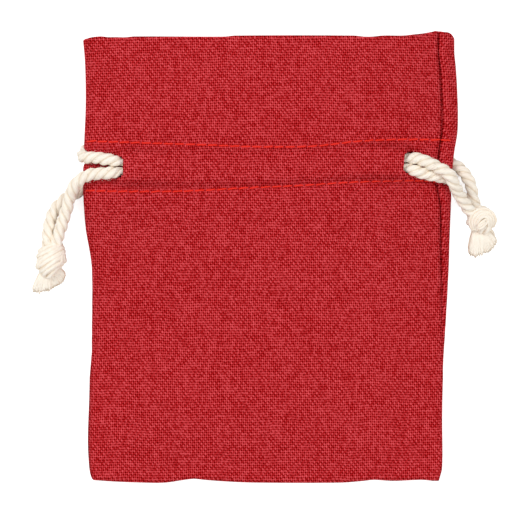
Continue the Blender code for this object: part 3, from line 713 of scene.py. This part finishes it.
def cord_routes():
    """Each cord runs from its knot through the front channel, round the far edge and back behind."""
    lane, hole_lane = PAIR / 2, HOLE_PAIR / 2
    onwards, back = CHANNEL_STOPS, CHANNEL_STOPS[::-1]
    left = [*LEFT_FRONT_LEG, over_front(*LEFT_CORD_ENTRY),
            in_front_channel(FRONT_LEFT_HOLE, -hole_lane),
            *(in_front_channel(x, -lane) for x in onwards),
            in_front_channel(FRONT_RIGHT_HOLE, -hole_lane),
            *(over_front(*place) for place in LEFT_CORD_OVER),
            *wrap_points(RIGHT_WRAP, 1, RIGHT_WRAP_TILT),
            *((x, y, UNDER_LEVEL) for x, y in LEFT_CORD_UNDER),
            *(in_back_channel(x, -lane) for x in (BACK_RIGHT_HOLE, *back, BACK_LEFT_HOLE)),
            *LEFT_BACK_LEG]
    right = [*RIGHT_FRONT_LEG,
             in_front_channel(FRONT_RIGHT_HOLE, hole_lane),
             *(in_front_channel(x, lane) for x in back),
             in_front_channel(FRONT_LEFT_HOLE, hole_lane),
             *(over_front(*place) for place in RIGHT_CORD_OVER),
             *wrap_points(LEFT_WRAP, -1, LEFT_WRAP_TILT),
             *((x, y, UNDER_LEVEL) for x, y in RIGHT_CORD_UNDER),
             *(in_back_channel(x, lane) for x in (BACK_LEFT_HOLE, *onwards, BACK_RIGHT_HOLE)),
             *RIGHT_BACK_LEG]
    return left, right


# Shader helpers

def filled(tree, node, values):
    """The node's first output, once each input has its number or another node's output."""
    for socket, value in zip(node.inputs, values):
        if isinstance(value, (int, float)):
            socket.default_value = value
        else:
            tree.links.new(value, socket)
    return node.outputs[0]


def math_node(tree, operation, *values, clamp=False):
    node = tree.nodes.new("ShaderNodeMath")
    node.operation = operation
    node.use_clamp = clamp
    return filled(tree, node, values)


def combined(tree, x, y, z=0.0):
    return filled(tree, tree.nodes.new("ShaderNodeCombineXYZ"), (x, y, z))


def separated(tree, vector):
    node = tree.nodes.new("ShaderNodeSeparateXYZ")
    tree.links.new(vector, node.inputs[0])
    return node.outputs


def set_inputs(node, **values):
    for label, value in values.items():
        node.inputs[label.replace("_", " ")].default_value = value
    return node


def noise_node(tree, vector, scale, detail):
    node = set_inputs(tree.nodes.new("ShaderNodeTexNoise"), Scale=scale, Detail=detail)
    tree.links.new(vector, node.inputs["Vector"])
    return node.outputs["Fac"]


def group_tree(name, vector, numbers, outputs):
    """A node group with a vector and numbers as its inputs."""
    tree = bpy.data.node_groups.new(name, "ShaderNodeTree")
    tree.interface.new_socket(vector, in_out="INPUT", socket_type="NodeSocketVector")
    for label, value in numbers.items():
        socket = tree.interface.new_socket(label, in_out="INPUT", socket_type="NodeSocketFloat")
        socket.default_value = value
    for label in outputs:
        tree.interface.new_socket(label, in_out="OUTPUT", socket_type="NodeSocketFloat")
    entry = tree.nodes.new("NodeGroupInput")
    leave = tree.nodes.new("NodeGroupOutput")
    return tree, entry.outputs, leave.inputs


def plain_weave_group():
    """A plain weave on the flat cloth's own map, in millimetres: its relief, and its lightness with painted
    shade and highlight, the yarn tops painted lighter by their height and alternate pin-holes painted dark as
    shadow.
    """
    numbers = {"Pitch across": 0.58, "Pitch up": 0.72, "Wander": 1.0, "Crossing unevenness": 0.32,
               "Yarn unevenness": 0.26, "Cloudiness": 0.06}
    tree, given, wanted = group_tree("Plain weave", "Cloth", numbers, ("Height", "Lightness"))
    calc = partial(math_node, tree)
    across, up, _ = separated(tree, given["Cloth"])

    def uneven(place, other, seed, grain_along, grain_aside, detail):
        grain = calc("MULTIPLY", place, grain_along), calc("MULTIPLY", other, grain_aside)
        return noise_node(tree, combined(tree, *grain, seed), 1.0, detail)

    def wandered(place, other, pitch, seed):
        """The count of yarns up to a place. They wander slowly and jitter quickly."""
        shift = calc("SUBTRACT", uneven(place, other, seed, 0.04, 0.11, 3.0), 0.5)
        jitter = calc("SUBTRACT", uneven(place, other, seed, 1.7, 0.8, 1.0), 0.5)
        both = calc("MULTIPLY_ADD", jitter, 0.3, shift)
        return calc("DIVIDE", calc("MULTIPLY_ADD", both, given["Wander"], place), pitch)

    count_across = wandered(across, up, given["Pitch across"], 5.0)
    count_up = wandered(up, across, given["Pitch up"], 11.0)

    def yarns(count, other, seed):
        """Number, profile across and unevenness of the yarns that are counted along one direction."""
        index = calc("FLOOR", count)
        place = calc("SUBTRACT", calc("FRACT", count), 0.5)
        tone = uneven(index, other, seed, 7.31, 0.07, 3.0)
        off = calc("DIVIDE", place, calc("MULTIPLY_ADD", tone, 0.3, 0.31))
        return index, calc("SUBTRACT", 1.0, calc("MULTIPLY", off, off)), tone

    def waves_of(kind):
        """A wave each way, multiplied: +1 and -1 by turns at the crossings (SINE) or pin-holes (COSINE)."""
        first, second = (calc(kind, calc("MULTIPLY", count, math.pi)) for count in (count_across, count_up))
        return calc("MULTIPLY", first, second)

    column, long_profile, long_tone = yarns(count_across, count_up, 2.0)
    line, cross_profile, cross_tone = yarns(count_up, count_across, 8.0)
    over = waves_of("SINE")
    long_height = calc("MULTIPLY_ADD", over, 0.5, long_profile)
    cross_height = calc("MULTIPLY_ADD", over, -0.5, cross_profile)
    height = calc("SMOOTH_MAX", long_height, cross_height, 0.2)
    pin_hole_shadow = calc("POWER", calc("MAXIMUM", waves_of("COSINE"), 0.0), 1.5)
    tone = tree.nodes.new("ShaderNodeMix")
    tree.links.new(calc("GREATER_THAN", long_height, cross_height), tone.inputs[0])
    tree.links.new(cross_tone, tone.inputs[2])
    tree.links.new(long_tone, tone.inputs[3])
    crossing = tree.nodes.new("ShaderNodeTexWhiteNoise")
    crossing.noise_dimensions = "3D"
    tree.links.new(combined(tree, column, line, 3.0), crossing.inputs["Vector"])
    # Painted shade and highlight: each yarn is painted lighter towards its top by its height, crossings where
    # the long yarn lies over are set a little lighter, and alternate pin-holes are painted dark as shadow.
    light = calc("MULTIPLY_ADD", height, 0.55, 0.1)
    light = calc("MULTIPLY_ADD", over, 0.13, light)
    light = calc("MULTIPLY_ADD", pin_hole_shadow, -0.6, light)
    uneven_by = {"Crossing unevenness": crossing.outputs[0], "Yarn unevenness": tone.outputs[0],
                 "Cloudiness": noise_node(tree, given["Cloth"], 0.07, 4.0)}
    for share, value in uneven_by.items():
        light = calc("MULTIPLY_ADD", calc("SUBTRACT", value, 0.5), given[share], light)
    tree.links.new(calc("MULTIPLY_ADD", height, 0.5, 0.25), wanted["Height"])
    tree.links.new(light, wanted["Lightness"])
    return tree


def laid_fibre_group():
    """Fine fibres that run along a strand or tuft, on its own map of share round and distance along."""
    tree, given, wanted = group_tree(
        "Laid fibres", "Lay", {"Lines round": 40.0, "Slant": 0.0}, ("Height", "Tone"))
    calc = partial(math_node, tree)
    around, along, _ = separated(tree, given["Lay"])
    slanted = calc("MULTIPLY_ADD", along, given["Slant"], around)
    fine = combined(tree, calc("MULTIPLY", slanted, given["Lines round"]), calc("MULTIPLY", along, 0.45))
    tree.links.new(noise_node(tree, fine, 1.0, 3.0), wanted["Height"])
    broad = combined(tree, calc("MULTIPLY", slanted, 6.0), calc("MULTIPLY", along, 0.35), 4.0)
    tree.links.new(noise_node(tree, broad, 1.0, 2.0), wanted["Tone"])
    return tree


def placed_group(tree, group, **values):
    node = tree.nodes.new("ShaderNodeGroup")
    node.node_tree = group
    return set_inputs(node, **values)


def principled(name, roughness, specular=0.25):
    material = bpy.data.materials.new(name)
    material.use_nodes = True
    shader = material.node_tree.nodes["Principled BSDF"]
    set_inputs(shader, Roughness=roughness, Specular_IOR_Level=specular)
    return material, material.node_tree, shader


def uv_of(tree):
    node = tree.nodes.new("ShaderNodeUVMap")
    node.uv_map = "lay"
    return node.outputs[0]


def mixed(tree, share, first, second):
    """A mix of two colours, each fixed or a node's output, by a share from another node."""
    node = tree.nodes.new("ShaderNodeMix")
    node.data_type = "RGBA"
    for label, value in ((0, share), (6, first), (7, second)):
        if isinstance(value, tuple):
            node.inputs[label].default_value = (*value, 1.0)
        else:
            tree.links.new(value, node.inputs[label])
    return node.outputs[2]


def bumped(tree, shader, height, distance, strength):
    bump = set_inputs(tree.nodes.new("ShaderNodeBump"), Distance=distance, Strength=strength)
    tree.links.new(height, bump.inputs["Height"])
    tree.links.new(bump.outputs[0], shader.inputs["Normal"])


def red_cotton(weave):
    material, tree, shader = principled("red_cotton", 0.92, 0.04)
    group = placed_group(tree, weave)
    tree.links.new(uv_of(tree), group.inputs["Cloth"])
    light = group.outputs["Lightness"]
    # The red follows the weave's lightness, painted shade and highlight included: painted shadow in the
    # pin-holes, painted highlight on the yarn tops.
    colour = mixed(tree, math_node(tree, "MULTIPLY", light, 2.0, clamp=True), RED_DEEP, RED_YARN)
    colour = mixed(tree, math_node(tree, "MULTIPLY_ADD", light, 2.0, -1.0, clamp=True), colour, RED_LIGHT)
    tree.links.new(colour, shader.inputs["Base Color"])
    bumped(tree, shader, group.outputs["Height"], 0.0002, 0.6)
    return material


def cream_cotton(fibres, name, strands, lines, slant, shade):
    """Undyed cotton with painted shade in a tan colour: in the grooves between its strands, or at the sides
    where it has none, and in the low places between its fibres.
    """
    material, tree, shader = principled(name, 0.92)
    calc = partial(math_node, tree)
    group = placed_group(tree, fibres, Lines_round=lines, Slant=slant)
    place = uv_of(tree)
    tree.links.new(place, group.inputs["Lay"])
    tone = calc("MULTIPLY_ADD", group.outputs["Tone"], 1.6, -0.3, clamp=True)
    # The fibres' low places are painted in the shade colour: painted shade in the fine grooves.
    fine = calc("MULTIPLY_ADD", group.outputs["Height"], -4.0, 2.1, clamp=True)
    if strands:
        # Painted shade in the grooves between the rope's strands, darkest at the edges of each strand's lobe.
        lobe = calc("FRACT", calc("MULTIPLY", separated(tree, place)[0], strands))
        off = calc("MULTIPLY", calc("ABSOLUTE", calc("SUBTRACT", lobe, 0.5)), 2.0)
        deep = calc("POWER", off, 5.0)
    else:
        # Elsewhere the faces that turn aside are painted in the shade colour: painted shade where strands and
        # tufts meet.
        side = tree.nodes.new("ShaderNodeAttribute")
        side.attribute_name = "side"
        deep = side.outputs["Fac"]
    colour = mixed(tree, tone, CREAM, CREAM_LIGHT)
    colour = mixed(tree, calc("MULTIPLY", fine, 0.36), colour, CREAM_PAINTED_SHADE)
    colour = mixed(tree, calc("MULTIPLY", deep, shade), colour, CREAM_PAINTED_SHADE)
    tree.links.new(colour, shader.inputs["Base Color"])
    bumped(tree, shader, group.outputs["Height"], 0.0003, 0.7)
    return material


def orange_thread(fibres):
    material, tree, shader = principled("orange_thread", 0.6)
    group = placed_group(tree, fibres, Lines_round=3.0, Slant=1.4)
    tree.links.new(uv_of(tree), group.inputs["Lay"])
    # The thread's low places between its fibres are painted darker: painted shade in the twist's grooves.
    deep = math_node(tree, "MULTIPLY_ADD", group.outputs["Height"], -2.0, 1.2, clamp=True)
    tree.links.new(mixed(tree, deep, ORANGE, ORANGE_PAINTED_SHADE), shader.inputs["Base Color"])
    bumped(tree, shader, group.outputs["Height"], 0.0001, 0.5)
    return material


def white_floor():
    """A floor that the camera sees white, with the pouch's soft shadow."""
    material = bpy.data.materials.new("white_floor")
    material.use_nodes = True
    tree = material.node_tree
    tree.nodes.clear()
    seen = tree.nodes.new("ShaderNodeLightPath").outputs
    shown = math_node(tree, "MAXIMUM", seen["Is Glossy Ray"], seen["Is Transmission Ray"])
    shown = math_node(tree, "MAXIMUM", seen["Is Camera Ray"], shown)
    glow = tree.nodes.new("ShaderNodeEmission")
    tree.links.new(math_node(tree, "MULTIPLY", shown, FLOOR_GLOW), glow.inputs["Strength"])
    diffuse = set_inputs(tree.nodes.new("ShaderNodeBsdfDiffuse"), Color=FLOOR_GREY)
    both = filled(tree, tree.nodes.new("ShaderNodeAddShader"), (diffuse.outputs[0], glow.outputs[0]))
    tree.links.new(both, tree.nodes.new("ShaderNodeOutputMaterial").inputs["Surface"])
    return material


def build_camera():
    camera = bpy.data.cameras.new("camera")
    camera.sensor_width = SENSOR
    camera.lens = SENSOR * (CAMERA_HEIGHT - BAG_LEVEL) / PICTURE_WIDTH
    camera.clip_start = 0.05
    camera.clip_end = 10.0
    thing = in_scene("camera", camera)
    thing.location = (*CAMERA_OVER, CAMERA_HEIGHT)
    bpy.context.scene.camera = thing


def area_light(name, place, size, power):
    light = bpy.data.lights.new(name, "AREA")
    light.shape = "SQUARE"
    light.size = size
    light.energy = power
    thing = in_scene(name, light)
    thing.location = place
    thing.rotation_euler = Vector(place).to_track_quat("Z", "Y").to_euler()


def build_stage():
    area_light("key", *KEY_LIGHT)
    area_light("fill", *FILL_LIGHT)
    world = bpy.data.worlds.new("studio")
    bpy.context.scene.world = world
    world.use_nodes = True
    background = world.node_tree.nodes["Background"]
    set_inputs(background, Color=(1.0, 1.0, 1.0, 1.0), Strength=WORLD_STRENGTH)
    bm = bmesh.new()
    bmesh.ops.create_grid(bm, x_segments=1, y_segments=1, size=FLOOR_HALF)
    mesh_object("floor", bm, white_floor())
    bpy.context.scene.view_settings.view_transform = "Standard"


def hair_path(path, k, draw):
    """A loose fibre that springs from the cord at one point of its path."""
    ahead = (path[k + 1] - path[k]).normalized()
    spin = Vector((draw.gauss(0, 1), draw.gauss(0, 1), draw.gauss(0, 1)))
    aside = ahead.cross(spin).normalized()
    root = path[k] + aside * (cord_radius(path[k]) * HAIR_ROOT)
    swing = ahead * draw.uniform(-1.0, 1.0) + aside.cross(ahead) * draw.uniform(-0.8, 0.8)
    tip = root + aside * draw.uniform(0.3, 0.7) + swing
    return smooth_route((root, root + aside * 0.3 + swing * 0.5, tip), HAIR_STEP)


def build_drawcord(name, node, route, ends, seed, material):
    """A three-strand cord on its route, with both of its ends run on into the knot."""
    bm, uv = new_bmesh()
    first, last = ends
    whole = smooth_route((first, *route, last), ROPE_STEP)
    sweep(bm, uv, whole, ROPE_SIDES, rope_section(whole, ROPE_LAY, seed))
    draw = random.Random(seed)
    free = [k for k in range(2, len(whole) - 3) if cord_radius(whole[k]) > ROPE_OUTSIDE - 0.03]
    for _ in range(HAIRS):
        hair = hair_path(whole, draw.choice(free), draw)
        if min(point.z for point in hair) >= FLOOR_GAP:
            sweep(bm, uv, hair, 3, round_section(HAIR / 2))
    cord = finished(name, bm, material, node)
    return cord, [tuple(point * MM) for point in smooth_route(route, ROPE_STEP)]


def round_angles(count):
    return [math.tau * k / count for k in range(count + 1)]


def leaning(lean):
    """The directions along and across something that leans in the picture."""
    return Vector((math.cos(lean), math.sin(lean), 0.0)), Vector((-math.sin(lean), math.cos(lean), 0.0))


def turn_over(lean, size, across, shear, wander):
    """One strand's turn over a knot: a closed loop that leans in the picture, across the knot's middle."""
    direction, axis = leaning(lean)
    shrink = max(1 - abs(across / (size[1] + 0.25)) ** 2.6, 0.05) ** 0.5
    reach, height = (size[0] - STRAND) * shrink, (size[2] - STRAND) * shrink
    return [axis * (across * (1 - 0.14 * math.cos(angle)) + wander * math.sin(2 * angle))
            + direction * (reach * math.cos(angle) + shear * across)
            + Vector((0.0, 0.0, height * math.sin(angle))) for angle in round_angles(16)]


def leaning_loop(middle, radii, lean, height):
    """A small closed loop that lies on top of a knot."""
    direction, axis = leaning(lean)
    return [Vector((*middle, height)) + direction * (radii[0] * math.cos(angle))
            + axis * (radii[1] * math.sin(angle)) for angle in round_angles(12)]


def mark_shaded_sides(bm, outwards):
    """Keeps how far each vertex of a strand or tuft faces aside, where it meets its neighbours, as the mask
    for painted shade there.
    """
    side = bm.verts.layers.float.new("side")
    bm.normal_update()
    for vertex in bm.verts:
        vertex[side] = 1 - ramp(0.25, 0.85, vertex.normal.dot(outwards(vertex)))


def strand_section(radius, seed):
    """A round strand that swells and thins a little."""
    def section(angle, distance, share):
        swell = 1 + 0.12 * noise.noise(Vector((distance / 1.8, seed, math.sin(angle))))
        return radius * swell, 0.0
    return section


def build_knot(name, node, place, strands, seed, material):
    bm, uv = new_bmesh()
    for index, (turn, radius) in enumerate(strands):
        path = [point + Vector(place) for point in smooth_route(turn, STRAND_STEP)]
        sweep(bm, uv, path, STRAND_SIDES, strand_section(radius, seed + index))
    middle = Vector(place) * MM
    # Faces that turn in towards the knot's middle get painted shade, as in the recesses between its strands.
    mark_shaded_sides(bm, lambda vertex: (vertex.co - middle).normalized())
    return finished(name, bm, material, node)


def knot_turns(rows):
    return [(turn_over(math.radians(lean), size, across, shear, wander * (-1) ** k), STRAND * radius)
            for lean, size, shear, wander, radius, places in rows
            for k, across in enumerate(places)]


def right_knot_strands():
    """A band that sweeps over the top from the lower left, beside a small leaning eye, on the turns."""
    band = [([Vector([a + b * k for a, b in zip(start, step)]) for start, step in BAND], STRAND * BAND_RADIUS)
            for k in BAND_STRANDS]
    eye = [(leaning_loop(EYE_PLACE, radii, EYE_LEAN, height), STRAND * radius)
           for radii, height, radius in EYE_LOOPS]
    return band + eye + knot_turns(RIGHT_TURNS)


def along_line(points, share):
    place = share * (len(points) - 1)
    k = min(int(place), len(points) - 2)
    return Vector(points[k]).lerp(Vector(points[k + 1]), place - k)


def build_fray(name, node, neck, tips, seed, material):
    """A fan from the knot's neck to its cut tips: thick tufts below, and fine ones that lie on them."""
    bm, uv = new_bmesh()
    draw = random.Random(seed)
    abreast = THICK_TUFTS // 2
    for index in range(THICK_TUFTS + FINE_TUFTS + STRAY_TUFTS):
        thick, stray = index < THICK_TUFTS, index >= THICK_TUFTS + FINE_TUFTS
        share = (index % abreast + 0.5) / abreast if thick else draw.random()
        start = along_line(neck, min(max(share + draw.gauss(0.0, 0.0 if thick else 0.1), 0.0), 1.0))
        end = along_line(tips, share)
        end = start + (end - start) * draw.uniform(0.92, 0.99 if thick else 1.04)
        drop = FAN_LAYER if thick and index % 2 else 0.0
        drop += 0.45 if thick else draw.uniform(0.1, 0.3)
        bow = draw.gauss(0.0, 0.2)
        middle = start.lerp(end, 0.5)
        tip_level = max(FAN_TIP - drop + draw.uniform(-0.3, 0.3), FAN_LOWEST)
        path = smooth_route(((start.x, start.y, FAN_NECK - drop),
                             (middle.x + bow, middle.y + bow, FAN_MIDDLE - drop),
                             (end.x, end.y, tip_level)), TUFT_STEP)
        if stray:
            radius, sides = STRAY_RADIUS, 4
        elif thick:
            radius, sides = THICK_RADIUS, 10
        else:
            radius, sides = draw.uniform(*FINE_RADII), 8

        def section(angle, distance, part):
            full = 0.8 + 0.4 * math.sin(math.pi * min(part, 0.8))
            return radius * full * (0.4 if part >= 1 else 1.0), 0.0

        sweep(bm, uv, path, sides, section)
    # Faces of a fan that turn from straight up get painted shade; its tops are left light.
    mark_shaded_sides(bm, lambda vertex: Vector((0.0, 0.0, 1.0)))
    return finished(name, bm, material, node)


def build_bag(material):
    bm, uv = new_bmesh()
    rows = cloth_rows()
    for panel, (left_hole, right_hole) in PANELS.items():
        left, right = side_columns(*left_hole), side_columns(*right_hole)
        reaches = left[-1], right[-1]
        count = math.ceil((GRID_WIDTH - reaches[0] - reaches[1]) / MIDDLE_STEP)
        columns = [("left", away) for away in left]
        columns += [("middle", (k + 1) / count) for k in range(count - 1)]
        columns += [("right", away) for away in reversed(right)]
        places = grid(bm, len(columns) - 1, len(rows) - 1)
        flat = {}
        for vertex, (i, j) in places.items():
            point, flat[vertex] = cloth_point(panel, columns[i], rows[j], reaches)
            vertex.co = point * MM
        slit = []
        for face in {face for vertex in places for face in vertex.link_faces}:
            for loop in face.loops:
                loop[uv].uv = flat[loop.vert]
            if in_slit(face, panel, places, columns, rows):
                slit.append(face)
        bmesh.ops.delete(bm, geom=slit, context="FACES")
    bmesh.ops.remove_doubles(bm, verts=bm.verts, dist=0.00001)
    bmesh.ops.recalc_face_normals(bm, faces=bm.faces)
    bag = finished("bag_cloth", bm, material, "bag_body")
    wall = bag.modifiers.new("cloth", "SOLIDIFY")
    wall.thickness = CLOTH * MM
    wall.offset = 0.0


def in_slit(face, panel, places, columns, rows):
    """Whether a face of the outer layer lies in one of the cord holes, which are round at their corners."""
    i = [places[vertex][0] for vertex in face.verts]
    j = [places[vertex][1] for vertex in face.verts]
    levels = [rows[k][0] for k in j]
    if any(rows[k][1] > 0.0 for k in j) or min(levels) < LOWER or max(levels) > UPPER:
        return False
    side = columns[i[0]][0]
    if side == "middle" or any(columns[k][0] != side for k in i):
        return False
    hole, slit = PANELS[panel][0 if side == "left" else 1]
    away = sum(columns[k][1] for k in i) / len(i) - hole
    if not slit[0] < away < slit[1]:
        return False
    middle = sum((vertex.co for vertex in face.verts), Vector()) / len(face.verts) / MM
    off = abs(middle.y - channel_mid(middle.x))
    from_end = min(away - slit[0], slit[1] - away)
    return off < SLIT_HALF - HOLE_CORNER * (1 - min(from_end / HOLE_CORNER, 1.0)) ** 2


def build_stitching(name, node, row, seed, material):
    """One row of lockstitches round the bag: each stitch lies on the cloth and dives at its ends."""
    bm, uv = new_bmesh()
    draw = random.Random(seed)
    around = 2 * (RIGHT_SIDE[-1][1] - LEFT_SIDE[-1][1])
    stitches = round(around / STITCH)
    for k in range(stitches):
        _, run, turn = ring_sizes(row[0][1], 1.0)
        from_edge = abs(((k + 0.5) / stitches * 2 % 1.0) * (run + turn) - turn / 2)
        if from_edge < EDGE_STITCH:
            continue
        slant = draw.gauss(*STITCH_SLANT)
        points = []
        for part, out in STITCH_LINE:
            share = (k + part) / stitches
            y = row[0][1]
            for _ in range(3):
                _, run, turn = ring_sizes(y, 1.0)
                ring = -turn + share * 2 * (run + turn)
                x, z = section_point(ring, y, 1.0, -(CLOTH / 2 + out), 0.0)
                y = curve_at(row, x)
            points.append((x, y + slant * (2 * part - 1), z))
        sweep(bm, uv, smooth_route(points, THREAD_STEP), THREAD_SIDES, round_section(THREAD / 2))
    finished(name, bm, material, node)


build_camera()
build_stage()
fibres = laid_fibre_group()
cord_cotton = cream_cotton(fibres, "cream_cord", 3, 20.0, 0.03, 0.7)
knot_cotton = cream_cotton(fibres, "cream_knot", 0, 7.0, 0.02, 0.65)
fray_cotton = cream_cotton(fibres, "cream_fray", 0, 9.0, 0.0, 0.75)
left_route, right_route = cord_routes()
left_cord, left_path = build_drawcord(
    "left_rope", "left_drawcord", left_route, LEFT_ENDS, 3.0, cord_cotton)
right_cord, right_path = build_drawcord(
    "right_rope", "right_drawcord", right_route, RIGHT_ENDS, 9.0, cord_cotton)
left_knot = build_knot(
    "left_knot_turns", "left_knot", LEFT_KNOT_PLACE, knot_turns(LEFT_TURNS), 21.0, knot_cotton)
right_knot = build_knot(
    "right_knot_turns", "right_knot", RIGHT_KNOT_PLACE, right_knot_strands(), 51.0, knot_cotton)
left_fray = build_fray("left_fray", "left_tassel", *LEFT_FRAY, 5, fray_cotton)
right_fray = build_fray("right_fray", "right_tassel", *RIGHT_FRAY, 8, fray_cotton)
build_bag(red_cotton(plain_weave_group()))
thread = orange_thread(fibres)
build_stitching("upper_stitches", "upper_stitching", UPPER_ROW, 2, thread)
build_stitching("lower_stitches", "lower_stitching", LOWER_ROW, 4, thread)
